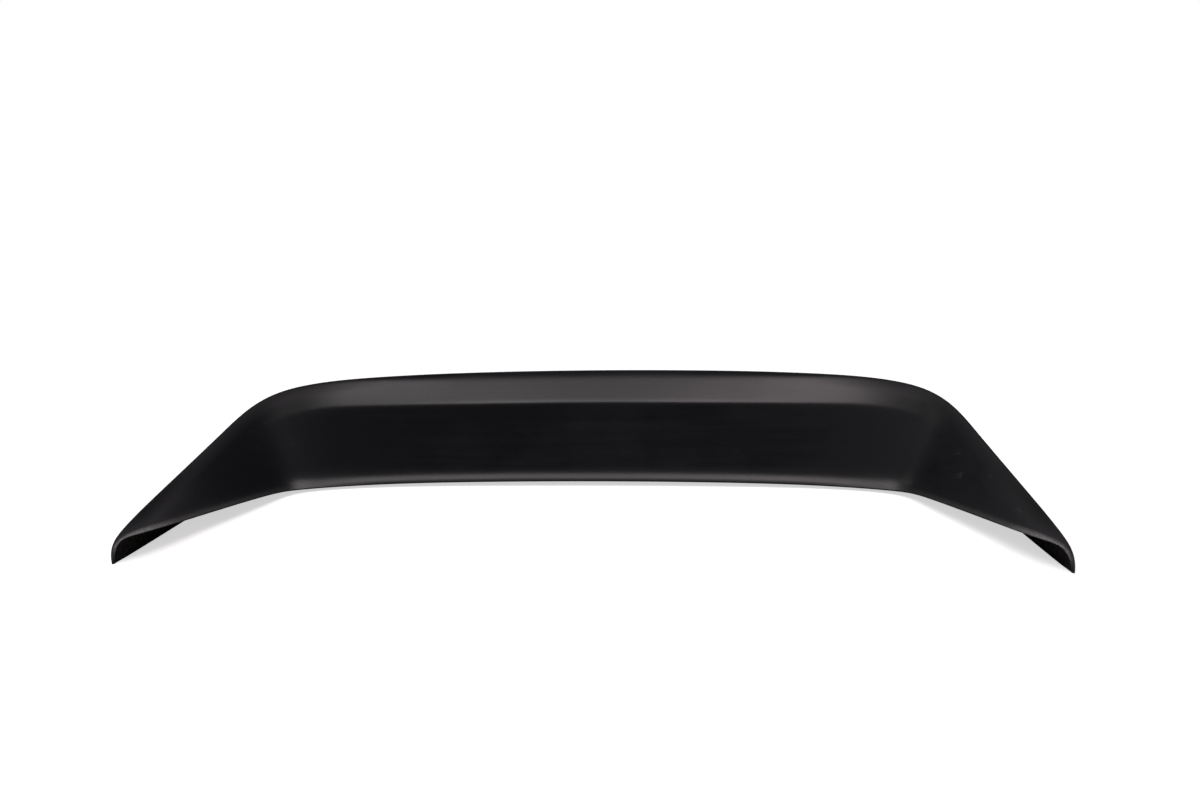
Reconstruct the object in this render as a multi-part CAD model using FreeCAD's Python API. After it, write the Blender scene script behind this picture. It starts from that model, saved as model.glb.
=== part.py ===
import FreeCAD, Part
import math
import os

# Rear spoiler: a one-piece hollow moulding that wraps round the tail of a car.
# Frame: X across the car, Y to the rear, Z up; the outer rim stands on Z = 0.

Vec = FreeCAD.Vector

# Driving dimensions, mm and degrees
OVERALL_WIDTH = 1140.0      # from tip to tip
WALL = 3.0                  # thickness of the moulding

# Plan of the ridge, from the middle out to one tip
STRAIGHT_HALF = 292.0       # half of the nearly straight middle stretch
STRAIGHT_BOW = 3.0          # how far its ends come forward
CORNER_BOW = 31.0           # how far the corner comes forward
LEG_SWEEP = 69.0            # turn of the legs from the crosswise direction
CORNER_TURN = 0.43          # share of that turn the section has made at the corner
LEG_LENGTH = 313.0          # corner to tip, along the leg

# Ridge height at the middle, the corner and the end of the leg
RIDGE_MIDDLE = 134.5
RIDGE_CORNER = 127.0
RIDGE_END = 41.0

# Height of the front rim at the same three places
FRONT_RIM_MIDDLE = 9.0
FRONT_RIM_CORNER = 5.0
FRONT_RIM_END = 35.0

# Depth of the front skin, from the ridge in to the front rim
FRONT_DEPTH_MIDDLE = 102.0
FRONT_DEPTH_CORNER = 104.5
FRONT_DEPTH_LEG = 75.5     # where the leg has just begun
FRONT_DEPTH_END = 23.0

# Draft of the rear skin, from the ridge out to the outer rim
REAR_DRAFT = 12.0
REAR_DRAFT_END = 0.5

# Flare along the front rim
FLARE_WIDTH = 13.0
FLARE_WIDTH_END = 5.0
FLARE_ANGLE = 38.0          # above the horizontal

# Top facet and the rolled ridge behind it
TOP_DEPTH = 41.5            # front to back, from the crease to the roll
TOP_RISE = 28.5
CREASE_ROUND = 0.13         # share of the faces beside the crease that its rounding takes
ROLL_RADIUS = 16.0
ROLL_RADIUS_END = 7.5

# Rounded nose at each tip
TIP_WIDTH = 3.0
NOSE_FULLNESS = 0.58        # how much of the height is kept over the tip
RIM_FULLNESS = 1.0         # the same for the front rim

DEGREE = 3
HALF_WIDTH = OVERALL_WIDTH / 2.0
SWEEP = math.radians(LEG_SWEEP)
ALONG = Vec(math.cos(SWEEP), -math.sin(SWEEP), 0)
LEG_INWARD = Vec(-math.sin(SWEEP), -math.cos(SWEEP), 0)
FORWARD = Vec(0, -1, 0)
CORNER = Vec(HALF_WIDTH - LEG_LENGTH * math.cos(SWEEP), -CORNER_BOW, 0)
TIP = CORNER + ALONG * LEG_LENGTH
LEG_STOPS = (0.33, 0.67, 0.94)


def mix(a, b, share):
    return a + (b - a) * share


# One station of the body: its place in plan, the way in from the ridge, how far
# it has gone from middle to corner and from corner to leg end, and how sharp its crease is.
def stations():
    corner_way = (LEG_INWARD * CORNER_TURN + FORWARD * (1.0 - CORNER_TURN)).normalize()
    rows = [
        (Vec(0, 0, 0), FORWARD, 0.0, 0.0, 1.0),
        (Vec(STRAIGHT_HALF / 2, -STRAIGHT_BOW / 4, 0), FORWARD, 0.15, 0.0, 1.0),
        (Vec(STRAIGHT_HALF, -STRAIGHT_BOW, 0), FORWARD, 0.6, 0.0, 0.8),
        (CORNER, corner_way, 1.0, 0.0, 0.0),
    ]
    for stop in LEG_STOPS:
        rows.append((CORNER + ALONG * (LEG_LENGTH * stop), LEG_INWARD, 1.0, stop / LEG_STOPS[-1], 0.0))
    return rows


# Control points of one cross-section, from the front rim over the ridge to the outer rim,
# as (distance in from the ridge, height)
def profile(to_corner, to_end, sharp):
    def size(middle, corner, end):
        return mix(middle, corner, to_corner) if to_end == 0 else mix(corner, end, to_end)

    leg_start = LEG_STOPS[0] / LEG_STOPS[-1]
    if to_end == 0:
        depth = mix(FRONT_DEPTH_MIDDLE, FRONT_DEPTH_CORNER, to_corner)
    else:
        depth = mix(FRONT_DEPTH_LEG, FRONT_DEPTH_END, (to_end - leg_start) / (1.0 - leg_start))
    front = size(FRONT_RIM_MIDDLE, FRONT_RIM_CORNER, FRONT_RIM_END)
    ridge = size(RIDGE_MIDDLE, RIDGE_CORNER, RIDGE_END)
    draft = size(REAR_DRAFT, REAR_DRAFT, REAR_DRAFT_END)
    roll = size(ROLL_RADIUS, ROLL_RADIUS, ROLL_RADIUS_END)
    flare = size(FLARE_WIDTH, FLARE_WIDTH, FLARE_WIDTH_END)

    lead = Vec(depth, front, 0)
    foot = Vec(depth - flare, front + flare * math.tan(math.radians(FLARE_ANGLE)), 0)
    roll_front = Vec(roll * 1.4, ridge, 0)
    roll_top = Vec(roll * 0.6, ridge, 0)
    roll_back = Vec(0, ridge - roll * 0.6, 0)
    base = Vec(-draft, 0, 0)
    crease_on = Vec(roll_front.x + TOP_DEPTH, ridge - TOP_RISE, 0)
    share = min(0.8, max(0.3, (crease_on.y - foot.y) / max(1.0, roll_front.y - foot.y)))
    crease_off = foot + (roll_front - foot) * share
    crease = crease_off + (crease_on - crease_off) * sharp

    points = [lead, (lead + foot) * 0.5, foot]
    points += [foot + (crease - foot) * t for t in (0.3, 1.0 - CREASE_ROUND)]
    points += [crease]
    points += [crease + (roll_front - crease) * t for t in (CREASE_ROUND, 0.7)]
    points += [roll_front, roll_top, roll_back]
    points += [roll_back + (base - roll_back) * t for t in (0.3, 0.7)]
    points += [base]
    return points


# Control rows of one half, from the middle to the tip
def half_net():
    rows = []
    for place, inward, to_corner, to_end, sharp in stations():
        row = []
        for point in profile(to_corner, to_end, sharp):
            row.append(place + inward * point.x + Vec(0, 0, point.y))
        rows.append(row)
    leg_end = rows[-1]
    count = len(leg_end)
    radius = TIP_WIDTH / 2
    centre = TIP - ALONG * radius
    over = []
    rim = []
    for j in range(count):
        turn = math.pi * (j / (count - 1.0) - 0.5)
        spot = centre + LEG_INWARD * (-math.sin(turn) * radius) + ALONG * (math.cos(turn) * radius)
        keep = mix(RIM_FULLNESS, NOSE_FULLNESS, min(1.0, j / 3.0))
        rim.append(spot)
        back = TIP_WIDTH * (1.0 - min(1.0, leg_end[j].z / RIDGE_END))
        over.append(spot - ALONG * back + Vec(0, 0, leg_end[j].z * keep))
    return rows + [over, rim]


# Right half and its mirror image, from the left tip to the right one
def both_halves(half):
    return [[Vec(-p.x, p.y, p.z) for p in row] for row in half[:0:-1]] + half


# Knots of an open uniform spline
def knots(count):
    spans = count - DEGREE
    values = [i / float(spans) for i in range(spans + 1)]
    mults = [DEGREE + 1] + [1] * (spans - 1) + [DEGREE + 1]
    return values, mults


# Parameter at which each control point pulls most
def pull_points(count):
    values, mults = knots(count)
    flat = []
    for value, times in zip(values, mults):
        flat += [value] * times
    return [sum(flat[i + 1:i + 1 + DEGREE]) / DEGREE for i in range(count)]


def skin(net):
    u_knots, u_mults = knots(len(net))
    v_knots, v_mults = knots(len(net[0]))
    surface = Part.BSplineSurface()
    surface.buildFromPolesMultsKnots(net, u_mults, v_mults, u_knots, v_knots, False, False, DEGREE, DEGREE)
    return surface


# Level direction into the hollow along the rim that stands on the floor
def level_way(net, i):
    run = net[i + 1][-1] - net[i - 1][-1]
    way = Vec(-run.y, run.x, 0).normalize()
    return way if way.dot(net[i][0] - net[i][-1]) > 0 else way * -1.0


# Inside of the nose: a narrow edge behind the tip, one wall in from the outer rim
def nose_inside(j, count, over):
    back = TIP_WIDTH / 2 + WALL * (1.0 + 0.8 * j / (count - 1.0))
    edge = TIP - ALONG * back + LEG_INWARD * (WALL - TIP_WIDTH / 2)
    if over is None:
        return edge
    return edge - ALONG * WALL + Vec(0, 0, max(0.0, over.z - WALL))


# Half of the inner skin's net: it follows the outer skin at the wall thickness, and its rim stays level
def inner_half(net, surface, side):
    count = len(net[0])
    last = len(net) - 1
    u_pull = pull_points(len(net))
    v_pull = pull_points(count)
    rows = []
    for i in range(last // 2, last - 1):
        row = []
        for j, point in enumerate(net[i]):
            way = surface.normal(u_pull[i], v_pull[j]) * side if j < count - 1 else level_way(net, i)
            row.append(point + way * WALL)
        rows.append(row)
    rows.append([nose_inside(j, count, net[last - 1][j]) for j in range(count)])
    rows.append([nose_inside(j, count, None) for j in range(count)])
    return rows


# The outer skin in narrow strips from tip to tip, two to each span of the spline
def outer_strips(surface, count):
    strip_count = 2 * (count - DEGREE)
    cuts = [i / float(strip_count) for i in range(strip_count + 1)]
    strips = []
    for start, stop in zip(cuts, cuts[1:]):
        strip = surface.copy()
        strip.segment(0.0, 1.0, start, stop)
        strips.append(strip.toShape())
    return strips


# The inner skin in flat-sided strips between lines that run from tip to tip
def inner_strips(surface, count):
    pulls = pull_points(count)
    joined = (0, 2, 3, 5, 7, 8, 9, 10, 11, 13)    # columns of the net that the lines follow
    lines = [surface.vIso(pulls[j]).toShape() for j in joined]
    return [Part.makeRuledSurface(a, b) for a, b in zip(lines, lines[1:])]


def on_floor(edge):
    places = [edge.valueAt(mix(edge.FirstParameter, edge.LastParameter, t)) for t in (0.0, 0.5, 1.0)]
    return all(abs(place.z) < 1e-4 for place in places)


whole = both_halves(half_net())
columns = len(whole[0])
outer = skin(whole)

# The way into the hollow, taken from the middle of the rear skin
middle_normal = outer.normal(0.5, 0.9)
side = 1.0 if middle_normal.y < 0 else -1.0
inner = skin(both_halves(inner_half(whole, outer, side)))

# Trimmed edge along the front rim, and the level one that runs round the outside on the floor
front_rim = Part.makeRuledSurface(outer.vIso(0.0).toShape(), inner.vIso(0.0).toShape())
sides = outer_strips(outer, columns) + inner_strips(inner, columns) + [front_rim]
loop = [edge for part in sides for edge in part.Edges if on_floor(edge)]
floor_rim = Part.Face(Part.Wire(Part.__sortEdges__(loop)))

shell = Part.makeShell([face for part in sides for face in part.Faces] + [floor_rim])
shell.sewShape()
spoiler = Part.makeSolid(shell)
if spoiler.Volume < 0:
    spoiler.reverse()

# Stand it on the floor with the middle of its box over the origin
box = spoiler.BoundBox
spoiler.translate(Vec(0, -(box.YMin + box.YMax) / 2, -box.ZMin))

os.makedirs("parts", exist_ok=True)
spoiler.exportStep("parts/spoiler_shell.step")
box = spoiler.BoundBox
print("valid", spoiler.isValid(), "closed", shell.isClosed(), "solids", len(spoiler.Solids))
print("volume cm3", round(spoiler.Volume / 1000.0, 1), "size", round(box.XLength, 1), round(box.YLength, 1), round(box.ZLength, 1))
print("Z from", round(box.ZMin, 2), "Y from", round(box.YMin, 2))
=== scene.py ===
import math

import bpy
import numpy as np
from mathutils import Matrix, Vector


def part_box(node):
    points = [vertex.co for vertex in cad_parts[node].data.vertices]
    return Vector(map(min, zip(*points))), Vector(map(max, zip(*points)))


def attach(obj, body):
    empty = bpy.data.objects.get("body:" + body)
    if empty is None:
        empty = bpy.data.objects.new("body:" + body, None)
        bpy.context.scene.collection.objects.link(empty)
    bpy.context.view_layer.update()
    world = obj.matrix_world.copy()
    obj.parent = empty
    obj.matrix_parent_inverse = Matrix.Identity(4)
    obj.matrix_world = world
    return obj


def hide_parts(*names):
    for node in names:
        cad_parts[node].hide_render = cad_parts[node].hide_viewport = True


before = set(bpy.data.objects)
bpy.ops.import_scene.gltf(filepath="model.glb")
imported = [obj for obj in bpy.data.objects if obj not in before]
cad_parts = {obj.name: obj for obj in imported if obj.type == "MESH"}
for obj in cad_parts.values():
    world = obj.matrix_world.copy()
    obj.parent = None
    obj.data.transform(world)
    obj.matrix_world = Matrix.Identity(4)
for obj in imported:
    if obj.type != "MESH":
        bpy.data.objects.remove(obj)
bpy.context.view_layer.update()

# Driving dimensions of the moulding, mm and degrees; the roll at corners and legs is tighter than in CAD
OVERALL_WIDTH = 1140.0
WALL = 3.0
STRAIGHT_HALF = 292.0
STRAIGHT_BOW = 3.0
CORNER_BOW = 31.0
LEG_SWEEP = 69.0
CORNER_TURN = 0.43
LEG_LENGTH = 313.0
RIDGE_MIDDLE = 134.5
RIDGE_CORNER = 127.0
RIDGE_END = 41.0
FRONT_RIM_MIDDLE = 9.0
FRONT_RIM_CORNER = 5.0
FRONT_RIM_END = 35.0
FRONT_DEPTH_MIDDLE = 102.0
FRONT_DEPTH_CORNER = 104.5
FRONT_DEPTH_LEG = 75.5
FRONT_DEPTH_END = 23.0
REAR_DRAFT = 12.0
REAR_DRAFT_END = 0.5
FLARE_WIDTH = 13.0
FLARE_WIDTH_END = 5.0
FLARE_ANGLE = 38.0
TOP_DEPTH = 41.5
TOP_RISE = 28.5
ROLL_RADIUS = 16.0
ROLL_RADIUS_CORNER = 8.0
ROLL_RADIUS_END = 4.0
TIP_WIDTH = 3.0

# Shares for the sections, crease and noses; the crease fades sooner and the tips' rim is lower than in CAD
CREASE_ROUND = 0.13
CREASE_LEFT = 0.65
CREASE_SHARES = (0.3, 0.8)
FACE_SHARES = (0.3, 0.7)
ROLL_REACH = 1.4
ROLL_SHOULDER = 0.6
ROLL_FULLNESS = 0.3
NOSE_FULLNESS = 0.58
RIM_FULLNESS = 0.94
RIM_COLUMNS = 3
EDGE_SLANT = 0.8
TO_CORNER_SHARES = (0.15, 0.6)
LEG_STOPS = (0.33, 0.67, 0.94)
DEGREE = 3

SWEEP = math.radians(LEG_SWEEP)
ALONG = np.array([math.cos(SWEEP), -math.sin(SWEEP), 0.0])
LEG_INWARD = np.array([-math.sin(SWEEP), -math.cos(SWEEP), 0.0])
FORWARD = np.array([0.0, -1.0, 0.0])
UP = np.array([0.0, 0.0, 1.0])
CORNER = np.array([OVERALL_WIDTH / 2 - LEG_LENGTH * math.cos(SWEEP), -CORNER_BOW, 0.0])
TIP = CORNER + ALONG * LEG_LENGTH


def mix(a, b, share):
    return a + (b - a) * share


# Control points of one section, from the front rim over the ridge to the outer rim: (distance in, height)
def profile(to_corner, to_end, sharp):
    def size(middle, corner, end):
        return mix(middle, corner, to_corner) if to_end == 0 else mix(corner, end, to_end)

    leg_start = LEG_STOPS[0] / LEG_STOPS[-1]
    if to_end == 0:
        depth = mix(FRONT_DEPTH_MIDDLE, FRONT_DEPTH_CORNER, to_corner)
    else:
        depth = mix(FRONT_DEPTH_LEG, FRONT_DEPTH_END, (to_end - leg_start) / (1 - leg_start))
    front = size(FRONT_RIM_MIDDLE, FRONT_RIM_CORNER, FRONT_RIM_END)
    draft = size(REAR_DRAFT, REAR_DRAFT, REAR_DRAFT_END)
    flare = size(FLARE_WIDTH, FLARE_WIDTH, FLARE_WIDTH_END)
    roll = size(ROLL_RADIUS, ROLL_RADIUS_CORNER, ROLL_RADIUS_END)
    inset = ROLL_FULLNESS * (size(ROLL_RADIUS, ROLL_RADIUS, ROLL_RADIUS_END * 2) - roll)
    ridge = size(RIDGE_MIDDLE, RIDGE_CORNER, RIDGE_END) - inset
    lead = np.array([depth, front])
    foot = np.array([depth - flare, front + flare * math.tan(math.radians(FLARE_ANGLE))])
    roll_front = np.array([inset + roll * ROLL_REACH, ridge])
    roll_top = np.array([inset + roll * ROLL_SHOULDER, ridge])
    roll_back = np.array([inset, ridge - roll * ROLL_SHOULDER])
    base = np.array([-draft, 0.0])
    crease_on = np.array([ROLL_RADIUS * ROLL_REACH + TOP_DEPTH, ridge - TOP_RISE])
    least, most = CREASE_SHARES
    share = min(most, max(least, (crease_on[1] - foot[1]) / max(1.0, roll_front[1] - foot[1])))
    crease_off = mix(foot, roll_front, share)
    crease = mix(crease_off, crease_on, sharp)
    points = [lead, (lead + foot) / 2, foot]
    points += [mix(foot, crease, t) for t in (FACE_SHARES[0], 1 - CREASE_ROUND)]
    points += [crease]
    points += [mix(crease, roll_front, t) for t in (CREASE_ROUND, FACE_SHARES[1])]
    points += [roll_front, roll_top, roll_back]
    points += [mix(roll_back, base, t) for t in FACE_SHARES]
    points += [base]
    return points


# The sections' places: foot of the ridge, way in, share of the way to the corner and to the leg's end, crease
def stations():
    corner_way = LEG_INWARD * CORNER_TURN + FORWARD * (1 - CORNER_TURN)
    corner_way /= np.linalg.norm(corner_way)
    half_way = np.array([STRAIGHT_HALF / 2, -STRAIGHT_BOW / 4, 0])
    straight_end = np.array([STRAIGHT_HALF, -STRAIGHT_BOW, 0])
    found = [
        (np.zeros(3), FORWARD, 0.0, 0.0, 1.0),
        (half_way, FORWARD, TO_CORNER_SHARES[0], 0.0, 1.0),
        (straight_end, FORWARD, TO_CORNER_SHARES[1], 0.0, CREASE_LEFT),
        (CORNER, corner_way, 1.0, 0.0, 0.0),
    ]
    for stop in LEG_STOPS:
        found.append((CORNER + ALONG * LEG_LENGTH * stop, LEG_INWARD, 1.0, stop / LEG_STOPS[-1], 0.0))
    return found


def both_halves(half):
    return np.concatenate([half[:0:-1] * np.array([-1, 1, 1]), half])


# Control net of the whole skin, from the left tip to the right one
def control_net():
    rows = []
    for place, inward, to_corner, to_end, sharp in stations():
        rows.append([place + inward * p[0] + UP * p[1] for p in profile(to_corner, to_end, sharp)])
    leg_end = rows[-1]
    count = len(leg_end)
    radius = TIP_WIDTH / 2
    over, rim = [], []
    for j in range(count):
        turn = math.pi * (j / (count - 1) - 0.5)
        spot = TIP - ALONG * radius - LEG_INWARD * math.sin(turn) * radius + ALONG * math.cos(turn) * radius
        keep = mix(RIM_FULLNESS, NOSE_FULLNESS, min(1.0, j / RIM_COLUMNS))
        back = TIP_WIDTH * (1 - min(1.0, leg_end[j][2] / RIDGE_END))
        rim.append(spot)
        over.append(spot - ALONG * back + UP * leg_end[j][2] * keep)
    return both_halves(np.array(rows + [over, rim]))


# Knots of an open uniform spline
def spline_knots(count):
    return np.concatenate([[0.0] * DEGREE, np.linspace(0, 1, count - DEGREE + 1), [1.0] * DEGREE])


# Weights of each control point of the spline, and their slopes, at the given parameters
def weights(count, at):
    knots = spline_knots(count)
    at = np.clip(np.asarray(at, float), 0, 1 - 1e-12)
    table = np.array([(at >= knots[i]) & (at < knots[i + 1]) for i in range(len(knots) - 1)], float).T
    for d in range(1, DEGREE + 1):
        n = table.shape[1] - 1
        new = np.zeros((len(at), n))
        slopes = np.zeros((len(at), n))
        for i in range(n):
            left = knots[i + d] - knots[i]
            right = knots[i + d + 1] - knots[i + 1]
            if left > 0:
                new[:, i] += (at - knots[i]) / left * table[:, i]
                slopes[:, i] += d / left * table[:, i]
            if right > 0:
                new[:, i] += (knots[i + d + 1] - at) / right * table[:, i + 1]
                slopes[:, i] -= d / right * table[:, i + 1]
        table = new
    return table, slopes


def tensor(a, net, b):
    return np.stack([a @ net[..., k] @ b.T for k in range(3)], -1)


# Parameter at which each control point pulls most
def pull_points(count):
    knots = spline_knots(count)
    return np.array([knots[i + 1:i + 1 + DEGREE].mean() for i in range(count)])


# Net of the inner skin: one wall in from the outer one, level along the floor, a narrow edge behind each tip
def inner_net(net):
    rows, columns = net.shape[:2]
    u, du = weights(rows, pull_points(rows))
    v, dv = weights(columns, pull_points(columns))
    way = np.cross(tensor(du, net, v), tensor(u, net, dv))
    way /= np.linalg.norm(way, axis=2, keepdims=True) + 1e-9
    if way[rows // 2, columns - 2, 1] > 0:
        way = -way
    half = []
    for i in range(rows // 2, rows - 2):
        along_rim = net[i + 1, -1] - net[i - 1, -1]
        level = np.array([-along_rim[1], along_rim[0], 0.0])
        level /= np.linalg.norm(level)
        if level @ (net[i, 0] - net[i, -1]) < 0:
            level = -level
        row = net[i] + way[i] * WALL
        row[-1] = net[i, -1] + level * WALL
        half.append(row)
    back = TIP_WIDTH / 2 + WALL * (1 + EDGE_SLANT * np.arange(columns) / (columns - 1))
    edge = TIP - back[:, None] * ALONG + LEG_INWARD * (WALL - TIP_WIDTH / 2)
    lift = np.maximum(0, net[-2, :, 2] - WALL)
    half.append(edge - ALONG * WALL + lift[:, None] * UP)
    half.append(edge)
    return both_halves(np.array(half))


ROWS, COLUMNS = 421, 121
net = control_net()
along_weights = weights(net.shape[0], np.linspace(0, 1, ROWS))[0]
across_weights = weights(net.shape[1], np.linspace(0, 1, COLUMNS))[0]
outer = tensor(along_weights, net, across_weights)
inner = tensor(along_weights, inner_net(net), across_weights)

# Into the frame: millimetres to metres, box centred over the origin
low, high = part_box("spoiler_shell")
MM_PER_M = 1000
middle = (outer[..., 1].min() + outer[..., 1].max()) / (2 * MM_PER_M)
shift = np.array([0.0, (low[1] + high[1]) / 2 - middle, 0.0])
outer = outer / MM_PER_M + shift
inner = inner / MM_PER_M + shift

# Lip and painted highlight band of the front rim at the tips, metres and shares
LIP_WIDTH = 0.0038
LIP_WIDTH_SHARE = 0.15
LIP_REACH = 0.075
LIP_HEIGHT = 0.024
LIP_CROWN = 0.32
LIP_TAPER = 0.6
LIP_HIGHLIGHT_TAPER = 0.5
LIP_ROWS = ROWS // 4
LIP_SHARES = (0.0, 0.12, 0.3, 0.55, 0.8, 1.0)
HIGHLIGHT_LENGTH = 0.22
HIGHLIGHT_TAPER = 0.7
HIGHLIGHT_WIDTH = 0.006
HIGHLIGHT_PLATEAU = 1.3
HIGHLIGHT_GAIN = 1.6
HIGHLIGHT_LEAST = 0.30

# Coarser edges: the roll round the corners and along the legs, and the very edge of the front rim, metres
EDGE_WIDTH = 0.016
EDGE_PLATEAU = 1.25
EDGE_FROM, EDGE_TO = 0.29, 0.40
EDGE_TIP_FADE = 0.05
RIM_EDGE = 0.0045

# Rounding of the trimmed edge along the front rim, metres
EDGE_BULGE = 0.0006
EDGE_SHARES = (0.0, 0.12, 0.35, 0.65, 0.88, 1.0)

front_rim = outer[:, :1]
from_rim = np.linalg.norm(outer - front_rim, axis=2)
from_tip = front_rim[..., 1] - outer[..., 1].min()


def clip01(values):
    return np.clip(values, 0, 1)


# Painted highlight on the outer skin: full along the rim at the tips, fading up the legs, into the skin and
# at the foot
def painted_rim_highlight():
    along_leg = clip01(1 - from_tip / HIGHLIGHT_LENGTH)
    tip_highlight = np.clip(HIGHLIGHT_GAIN - HIGHLIGHT_GAIN * from_tip / LIP_REACH, HIGHLIGHT_LEAST, 1)
    foot_fade = np.where(from_tip < LIP_REACH, clip01(front_rim[..., 2] / LIP_HEIGHT) ** 2, 1.0)
    return foot_fade * tip_highlight * along_leg ** HIGHLIGHT_TAPER * clip01(HIGHLIGHT_PLATEAU - from_rim / HIGHLIGHT_WIDTH)


def coarse_edges():
    crest = outer[np.arange(ROWS), outer[..., 2].argmax(axis=1)][:, None]
    roll = clip01(EDGE_PLATEAU - np.linalg.norm(outer - crest, axis=2) / EDGE_WIDTH)
    roll *= clip01((np.abs(crest[..., 0]) - EDGE_FROM) / (EDGE_TO - EDGE_FROM))
    roll *= clip01((crest[..., 1] - outer[..., 1].min()) / EDGE_TIP_FADE)
    rim = clip01(1 - from_rim / RIM_EDGE)
    rim *= clip01((EDGE_TO - np.abs(front_rim[..., 0])) / (EDGE_TO - EDGE_FROM))
    return np.maximum(roll, rim)


# Rounded edge between the two skins along the front rim; the floor rim stays flat
def rounded_edge():
    way = outer[:, 0] - outer[:, 1]
    way /= np.linalg.norm(way, axis=1, keepdims=True)
    lines = []
    for t in EDGE_SHARES:
        bulge = EDGE_BULGE * (1 - (2 * t - 1) ** 4)
        lines.append(outer[:, 0] * (1 - t) + inner[:, 0] * t + way * bulge)
    return np.stack(lines, 1)


# Rounded lip where the front rim runs down round a tip, its painted highlight, and the side that it points to
def tip_lip(rows):
    edge = outer[rows, 0]
    ahead = clip01(1 - from_tip[rows, 0] / LIP_REACH)
    height = clip01(edge[:, 2] / LIP_HEIGHT)
    width = LIP_WIDTH * ahead ** LIP_TAPER * mix(LIP_WIDTH_SHARE, 1.0, height)
    inward = np.array([-np.sign(edge[0, 0] + edge[-1, 0]), 0.0, 0.0])
    up = np.cross(np.gradient(edge, axis=0), inward)
    up *= np.sign(up[:, 2] - up[:, 1])[:, None] / (np.linalg.norm(up, axis=1, keepdims=True) + 1e-12)
    lines = [edge + width[:, None] * (inward * t + up * LIP_CROWN * (t - t * t)) for t in LIP_SHARES]
    # Painted highlight on the lip, strongest at the tip
    painted_highlight = np.tile((ahead ** LIP_HIGHLIGHT_TAPER * height ** 2)[:, None], (1, len(lines)))
    return np.stack(lines, 1), painted_highlight, inward[0] > 0


GEL_COAT, RAW_INSIDE, TRIMMED_EDGE = 0, 1, 2
INNER_STEP = 2
verts, faces, slots, painted_highlight_values, coarse = [], [], [], [], []


def add_grid(grid, slot, flip, painted_highlight=None, edges=None):
    base = len(verts)
    rows, cols = grid.shape[:2]
    none = np.zeros((rows, cols))
    verts.extend(grid.reshape(-1, 3).tolist())
    painted_highlight_values.extend((none if painted_highlight is None else painted_highlight).ravel().tolist())
    coarse.extend((none if edges is None else edges).ravel().tolist())
    for i in range(rows - 1):
        for j in range(cols - 1):
            a = base + i * cols + j
            quad = (a, a + cols, a + cols + 1, a + 1)
            faces.append(quad[::-1] if flip else quad)
            slots.append(slot)


add_grid(outer, GEL_COAT, False, painted_rim_highlight(), coarse_edges())
add_grid(inner[::INNER_STEP, ::INNER_STEP], RAW_INSIDE, True)
add_grid(rounded_edge(), TRIMMED_EDGE, True)
add_grid(np.stack([outer[:, -1], inner[:, -1]], 1), TRIMMED_EDGE, False)
for rows in (slice(0, LIP_ROWS), slice(ROWS - LIP_ROWS, ROWS)):
    lip, lip_highlight, flip = tip_lip(rows)
    add_grid(lip, GEL_COAT, flip, lip_highlight)
    add_grid(np.stack([lip[:, -1], inner[rows, 0]], 1), RAW_INSIDE, flip)
add_grid(np.stack([outer[0], inner[0]], 1), TRIMMED_EDGE, False)
add_grid(np.stack([outer[-1], inner[-1]], 1), TRIMMED_EDGE, True)

mesh = bpy.data.meshes.new("spoiler")
mesh.from_pydata(verts, [], faces)
mesh.polygons.foreach_set("material_index", slots)
mesh.polygons.foreach_set("use_smooth", [True] * len(faces))
# Per-point share of the painted highlight along the rim
mesh.attributes.new("painted_highlight", "FLOAT", "POINT").data.foreach_set("value", painted_highlight_values)
mesh.attributes.new("coarse", "FLOAT", "POINT").data.foreach_set("value", coarse)
mesh.update()
spoiler = bpy.data.objects.new("spoiler", mesh)
bpy.context.scene.collection.objects.link(spoiler)


# Node helpers
def node(tree, kind, **values):
    n = tree.nodes.new(kind)
    for key, value in values.items():
        if key in n.inputs:
            n.inputs[key].default_value = value
        else:
            setattr(n, key, value)
    return n


def grey(value):
    return (value, value, value)


def ramp(tree, source, stops):
    r = tree.nodes.new("ShaderNodeValToRGB")
    tree.links.new(source, r.inputs[0])
    while len(r.color_ramp.elements) < len(stops):
        r.color_ramp.elements.new(0.5)
    for element, (place, colour) in zip(r.color_ramp.elements, stops):
        element.position = place
        element.color = (*colour, 1)
    return r.outputs[0]


def noise(tree, place, scale, detail, roughness=0.5):
    n = node(tree, "ShaderNodeTexNoise", Scale=scale, Detail=detail, Roughness=roughness)
    tree.links.new(place, n.inputs["Vector"])
    return n.outputs[0]


# One sum of sockets and plain numbers
def maths(tree, operation, *terms):
    n = node(tree, "ShaderNodeMath", operation=operation)
    for socket, term in zip(n.inputs, terms):
        if isinstance(term, float):
            socket.default_value = term
        else:
            tree.links.new(term, socket)
    return n.outputs[0]


def map_range(tree, source, *limits):
    n = node(tree, "ShaderNodeMapRange")
    for socket, value in zip(n.inputs[1:5], limits):
        socket.default_value = value
    tree.links.new(source, n.inputs[0])
    return n.outputs[0]


def blend(tree, share, first, colour):
    n = node(tree, "ShaderNodeMix", data_type="RGBA")
    tree.links.new(share, n.inputs[0])
    tree.links.new(first, n.inputs[6])
    n.inputs[7].default_value = (*colour, 1)
    return n.outputs[2]


def attribute(tree, name):
    return node(tree, "ShaderNodeAttribute", attribute_name=name).outputs["Fac"]


def bump(tree, shader, height, strength, distance):
    n = node(tree, "ShaderNodeBump", Strength=strength, Distance=distance)
    tree.links.new(height, n.inputs["Height"])
    tree.links.new(n.outputs[0], shader.inputs["Normal"])


def empty_material(name):
    m = bpy.data.materials.new(name)
    m.use_nodes = True
    m.node_tree.nodes.clear()
    return m, m.node_tree, node(m.node_tree, "ShaderNodeOutputMaterial")


# A plain shader with its place in the object's own coordinates
def coating(name, specular, **values):
    m, t, out = empty_material(name)
    shader = node(t, "ShaderNodeBsdfPrincipled", **values)
    shader.inputs["Specular IOR Level"].default_value = specular
    t.links.new(shader.outputs[0], out.inputs[0])
    return m, t, shader, node(t, "ShaderNodeTexCoord").outputs["Object"]


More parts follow.
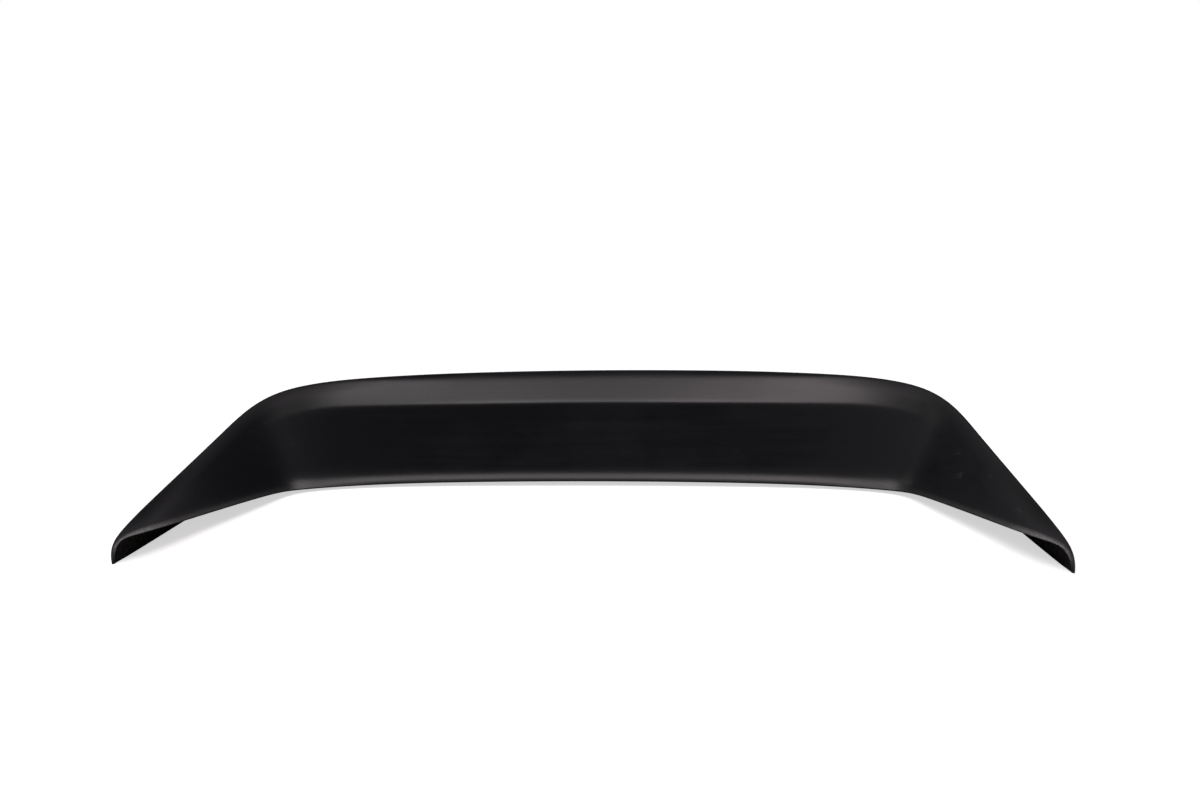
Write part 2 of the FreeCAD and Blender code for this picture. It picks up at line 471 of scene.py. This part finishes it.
# Places and reach of the small scuffs on the right leg and the wall, metres
SCUFFS = [
    ((0.467, 0.010, 0.070), 0.006),
    ((0.458, -0.012, 0.048), 0.007),
    ((0.468, -0.014, 0.049), 0.006),
    ((0.496, -0.045, 0.062), 0.005),
    ((0.519, -0.101, 0.046), 0.005),
    ((0.130, 0.081, 0.048), 0.005),
]
STREAK_SCALE = (4.0, 70.0, 110.0)
# The base black grows lighter towards +x: a painted reflection
PAINTED_REFLECTION_SLOPE = 0.3
BLACK_STOPS = [(0.42, (0.0036, 0.0036, 0.0043)), (0.61, (0.0092, 0.0090, 0.0097))]
GLOSS_STOPS = [(0.3, grey(0.28)), (0.7, grey(0.33))]
DUST_STOPS = [(0.73, grey(0.0)), (0.80, grey(0.35))]
DUST_COLOUR = (0.10, 0.10, 0.105)
HIGHLIGHT_MOTTLE_STOPS = [(0.35, grey(0.45)), (0.65, grey(1.0))]
# Pale colour shared by the real scuffs and the painted highlight along the rim
SCUFF_AND_HIGHLIGHT_COLOUR = (0.250, 0.249, 0.238)
NICK_STOPS = [(0.50, grey(0.0)), (0.64, grey(0.55))]
# The legs grow duller towards their tips, and the coarse edges are duller than the faces
DULL_FROM, DULL_TO = -0.03, -0.13
TIP_DULLNESS = 0.22
EDGE_DULLNESS = 0.40


# Share of scuffing: nicks inside the reach of each scuff
def scuffing(t, place):
    marks = None
    for spot, reach in SCUFFS:
        off = node(t, "ShaderNodeVectorMath", operation="DISTANCE")
        off.inputs[1].default_value = spot
        t.links.new(place, off.inputs[0])
        near = map_range(t, off.outputs["Value"], reach, 0.0, 0.0, 1.0)
        marks = near if marks is None else maths(t, "MAXIMUM", marks, near)
    nick = noise(t, place, scale=330.0, detail=4.0, roughness=0.75)
    return maths(t, "MULTIPLY", marks, ramp(t, nick, NICK_STOPS))


# Satin black gel coat: faint orange peel, streaks, uneven gloss, a little dust, scuffs, a painted reflection
# lightening it towards +x, and a painted highlight along the rim at the tips
def gel_coat():
    m, t, shader, place = coating("satin_black", specular=0.3)
    axes = node(t, "ShaderNodeSeparateXYZ")
    t.links.new(place, axes.inputs[0])
    blotch = noise(t, place, scale=9.0, detail=4.0, roughness=0.6)
    dull = map_range(t, axes.outputs["Y"], DULL_FROM, DULL_TO, 0.0, TIP_DULLNESS)
    gloss = maths(t, "ADD", ramp(t, blotch, GLOSS_STOPS), dull)
    rough = maths(t, "MULTIPLY_ADD", attribute(t, "coarse"), EDGE_DULLNESS, gloss)
    t.links.new(rough, shader.inputs["Roughness"])
    stretch = node(t, "ShaderNodeMapping", Scale=STREAK_SCALE)
    t.links.new(place, stretch.inputs["Vector"])
    streak = noise(t, stretch.outputs[0], scale=1.0, detail=5.0, roughness=0.65)
    uneven = maths(t, "MULTIPLY_ADD", streak, 0.5, maths(t, "MULTIPLY", blotch, 0.5))
    # Random streaks and blotches, plus a painted reflection that lightens the black towards +x
    streaks_and_reflection = maths(t, "MULTIPLY_ADD", axes.outputs["X"], PAINTED_REFLECTION_SLOPE, uneven)
    dust = ramp(t, noise(t, place, scale=420.0, detail=2.0), DUST_STOPS)
    dust_streaks_and_reflection = blend(t, dust, ramp(t, streaks_and_reflection, BLACK_STOPS), DUST_COLOUR)
    highlight_mottle = ramp(t, noise(t, place, scale=700.0, detail=3.0), HIGHLIGHT_MOTTLE_STOPS)
    # Painted highlight along the rim, mottled by noise, joined with the real scuffs
    painted_highlight = maths(t, "MULTIPLY", attribute(t, "painted_highlight"), highlight_mottle)
    scuffs_and_highlight = maths(t, "MAXIMUM", painted_highlight, scuffing(t, place))
    t.links.new(blend(t, scuffs_and_highlight, dust_streaks_and_reflection, SCUFF_AND_HIGHLIGHT_COLOUR), shader.inputs["Base Color"])
    bump(t, shader, noise(t, place, scale=260.0, detail=3.0), strength=0.06, distance=0.001)
    return m


# Raw inside of the laminate: dull, dark and matted
MATTED_STOPS = [(0.40, (0.0006, 0.0006, 0.0005)), (0.62, (0.0160, 0.0155, 0.0115))]


def raw_inside():
    m, t, shader, place = coating("raw_laminate", specular=0.12, Roughness=0.7)
    matted = noise(t, place, scale=260.0, detail=6.0, roughness=0.75)
    t.links.new(ramp(t, matted, MATTED_STOPS), shader.inputs["Base Color"])
    bump(t, shader, matted, strength=0.5, distance=0.0015)
    return m


# Trimmed edge: the same black, slightly paler where it was cut
CUT_STOPS = [(0.4, (0.008, 0.008, 0.008)), (0.6, (0.020, 0.020, 0.019))]


def trimmed_edge():
    m, t, shader, place = coating("trimmed_edge", specular=0.15, Roughness=0.6)
    grain = noise(t, place, scale=300.0, detail=3.0)
    t.links.new(ramp(t, grain, CUT_STOPS), shader.inputs["Base Color"])
    return m


for m in (gel_coat(), raw_inside(), trimmed_edge()):
    mesh.materials.append(m)
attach(spoiler, "root")
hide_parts("spoiler_shell")

# Pale floor that keeps the shadow, lightened for the camera and white further out
FLOOR = 6.0
FLOOR_COLOUR = (0.8, 0.8, 0.8, 1)
FLOOR_LIFT = 0.60
LIFT_FROM, LIFT_TO = 0.75, 1.6


def floor_material():
    m, t, out = empty_material("floor")
    plain = node(t, "ShaderNodeBsdfDiffuse", Color=FLOOR_COLOUR)
    glow = node(t, "ShaderNodeEmission", Color=(1, 1, 1, 1))
    far = node(t, "ShaderNodeVectorMath", operation="LENGTH")
    t.links.new(node(t, "ShaderNodeTexCoord").outputs["Object"], far.inputs[0])
    fade = map_range(t, far.outputs["Value"], LIFT_FROM, LIFT_TO, FLOOR_LIFT, 1.0)
    seen = node(t, "ShaderNodeLightPath").outputs["Is Camera Ray"]
    t.links.new(maths(t, "MULTIPLY", seen, fade), glow.inputs["Strength"])
    both = node(t, "ShaderNodeAddShader")
    t.links.new(plain.outputs[0], both.inputs[0])
    t.links.new(glow.outputs[0], both.inputs[1])
    t.links.new(both.outputs[0], out.inputs[0])
    return m


floor_mesh = bpy.data.meshes.new("floor")
floor_corners = [(-FLOOR, -FLOOR, 0), (FLOOR, -FLOOR, 0), (FLOOR, FLOOR, 0), (-FLOOR, FLOOR, 0)]
floor_mesh.from_pydata(floor_corners, [], [(0, 1, 2, 3)])
floor_mesh.materials.append(floor_material())
floor = bpy.data.objects.new("floor", floor_mesh)
bpy.context.scene.collection.objects.link(floor)

# Dim surround, brighter overhead, and white for the camera
SKY_WAY = (0.0, -0.34, 0.94)
SKY = [
    (0.45, (0.085, 0.085, 0.100)),
    (0.68, (0.135, 0.135, 0.155)),
    (0.87, (0.22, 0.22, 0.24)),
    (1.0, (0.45, 0.44, 0.45)),
]


def studio_world():
    world = bpy.data.worlds.new("studio")
    world.use_nodes = True
    t = world.node_tree
    t.nodes.clear()
    out = node(t, "ShaderNodeOutputWorld")
    rise = node(t, "ShaderNodeVectorMath", operation="DOT_PRODUCT")
    rise.inputs[1].default_value = SKY_WAY
    t.links.new(node(t, "ShaderNodeTexCoord").outputs["Generated"], rise.inputs[0])
    dim = node(t, "ShaderNodeBackground", Strength=1.0)
    t.links.new(ramp(t, rise.outputs["Value"], SKY), dim.inputs["Color"])
    white = node(t, "ShaderNodeBackground", Color=(1, 1, 1, 1), Strength=1.0)
    pick = node(t, "ShaderNodeMixShader")
    t.links.new(node(t, "ShaderNodeLightPath").outputs["Is Camera Ray"], pick.inputs[0])
    t.links.new(dim.outputs[0], pick.inputs[1])
    t.links.new(white.outputs[0], pick.inputs[2])
    t.links.new(pick.outputs[0], out.inputs[0])
    return world


bpy.context.scene.world = studio_world()

# Two large soft boxes high overhead, facing down, and a weaker one to the left
BOX_HEIGHT = 5.0


def soft_box(name, x, y, width, depth, glow, colour):
    light = bpy.data.lights.new(name, "AREA")
    light.shape = "RECTANGLE"
    light.color = colour
    light.size = width
    light.size_y = depth
    light.energy = glow * math.pi * width * depth
    o = bpy.data.objects.new(name, light)
    o.location = (x, y, BOX_HEIGHT)
    bpy.context.scene.collection.objects.link(o)


soft_box("left_box", x=-1.42, y=-0.94, width=1.34, depth=2.35, glow=5.8, colour=(1.0, 0.95, 0.965))
soft_box("side_fill", x=-4.6, y=-0.55, width=2.7, depth=3.1, glow=1.0, colour=(1.0, 1.0, 1.0))
soft_box("right_box", x=0.645, y=-0.94, width=1.91, depth=2.35, glow=5.7, colour=(1.0, 0.90, 0.94))

# Camera at the photo's viewing angle, metres and degrees
CAMERA_AIM = Vector((0.0049, float(shift[1]), 0.0840))
CAMERA_TURN = 6.72
CAMERA_HEIGHT_ANGLE = 21.73
CAMERA_ROLL = 2.84
CAMERA_DISTANCE = 1.6693
CAMERA_LENS = 35.75
SENSOR_WIDTH = 36

turn, rise = math.radians(CAMERA_TURN), math.radians(CAMERA_HEIGHT_ANGLE)
way = Vector((math.cos(rise) * math.sin(turn), -math.cos(rise) * math.cos(turn), math.sin(rise)))
stand = Matrix.Translation(CAMERA_AIM + way * CAMERA_DISTANCE)
look = (-way).to_track_quat("-Z", "Y").to_matrix().to_4x4()
camera_data = bpy.data.cameras.new("camera")
camera_data.sensor_width = SENSOR_WIDTH
camera_data.lens = CAMERA_LENS
camera = bpy.data.objects.new("camera", camera_data)
camera.matrix_world = stand @ look @ Matrix.Rotation(math.radians(-CAMERA_ROLL), 4, "Z")
bpy.context.scene.collection.objects.link(camera)
bpy.context.scene.camera = camera
bpy.context.scene.view_settings.view_transform = "Standard"
